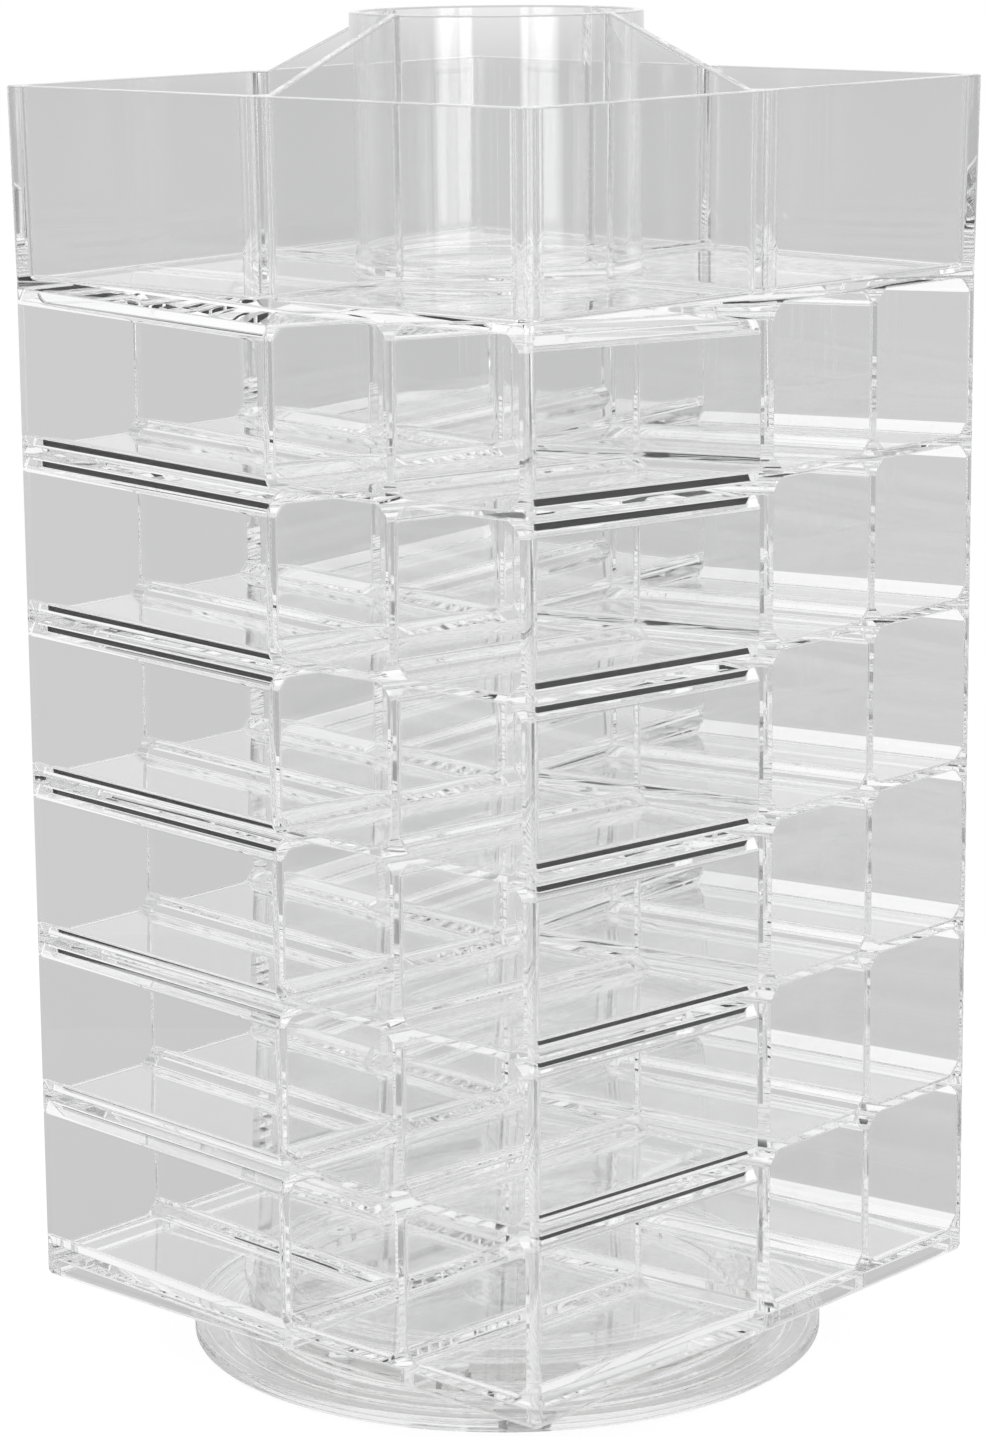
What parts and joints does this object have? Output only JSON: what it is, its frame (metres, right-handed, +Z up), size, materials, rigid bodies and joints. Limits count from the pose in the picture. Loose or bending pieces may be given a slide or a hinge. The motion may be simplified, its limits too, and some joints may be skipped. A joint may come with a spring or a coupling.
{
  "type": "rotating lipstick holder",
  "caption": "Clear square tower of slots in a pinwheel with a divided tray and a round brush cup on top, turning freely on a round ball-bearing base.",
  "frame": {"origin": "centre of the base at the table, under the feet", "axes": "+Z up along the axis that the tower turns on; the tower's faces look along X and Y; the bank named front opens towards -X"},
  "size_m": [0.126, 0.126, 0.2495],
  "materials": {
    "slot_bank_front": "polished",
    "slot_bank_right": "polished",
    "slot_bank_back": "polished",
    "slot_bank_left": "polished",
    "top_tray": "polished",
    "brush_cup": "polished",
    "turntable_plate": "polished",
    "ball_cage": "satin",
    "bearing_ball_1": "polished",
    "bearing_ball_2": "polished",
    "bearing_ball_3": "polished",
    "bearing_ball_4": "polished",
    "bearing_ball_5": "polished",
    "bearing_ball_6": "polished",
    "bearing_ball_7": "polished",
    "bearing_ball_8": "polished",
    "bearing_ball_9": "polished",
    "bearing_ball_10": "polished",
    "bearing_ball_11": "polished",
    "bearing_ball_12": "polished",
    "base_disc": "polished",
    "pivot_pin": "satin",
    "pivot_retainer": "satin",
    "foot_pad_1": "matte",
    "foot_pad_2": "matte",
    "foot_pad_3": "matte",
    "foot_pad_4": "matte"
  },
  "bodies": {
    "base": {"base_disc": "base_disc", "pivot_pin": "pivot_pin", "pivot_retainer": "pivot_retainer", "foot_pad_1": "foot_pad_1", "foot_pad_2": "foot_pad_2", "foot_pad_3": "foot_pad_3", "foot_pad_4": "foot_pad_4"},
    "cage": {"ball_cage": "ball_cage", "bearing_ball_1": "bearing_ball_1", "bearing_ball_2": "bearing_ball_2", "bearing_ball_3": "bearing_ball_3", "bearing_ball_4": "bearing_ball_4", "bearing_ball_5": "bearing_ball_5", "bearing_ball_6": "bearing_ball_6", "bearing_ball_7": "bearing_ball_7", "bearing_ball_8": "bearing_ball_8", "bearing_ball_9": "bearing_ball_9", "bearing_ball_10": "bearing_ball_10", "bearing_ball_11": "bearing_ball_11", "bearing_ball_12": "bearing_ball_12"},
    "tower": {"slot_bank_front": "slot_bank_front", "slot_bank_right": "slot_bank_right", "slot_bank_back": "slot_bank_back", "slot_bank_left": "slot_bank_left", "top_tray": "top_tray", "brush_cup": "brush_cup", "turntable_plate": "turntable_plate"}
  },
  "joints": [
    {"name": "tower_spin", "type": "hinge", "parent": "base", "child": "tower", "pos_m": [0, 0, 0.0117], "axis": [0, 0, 1], "continuous": true},
    {"name": "cage_orbit", "type": "hinge", "parent": "base", "child": "cage", "pos_m": [0, 0, 0.0056], "axis": [0, 0, 1], "continuous": true}
  ],
  "couplings": [
    {"joint": "cage_orbit", "follows": "tower_spin", "ratio": 0.5}
  ]
}
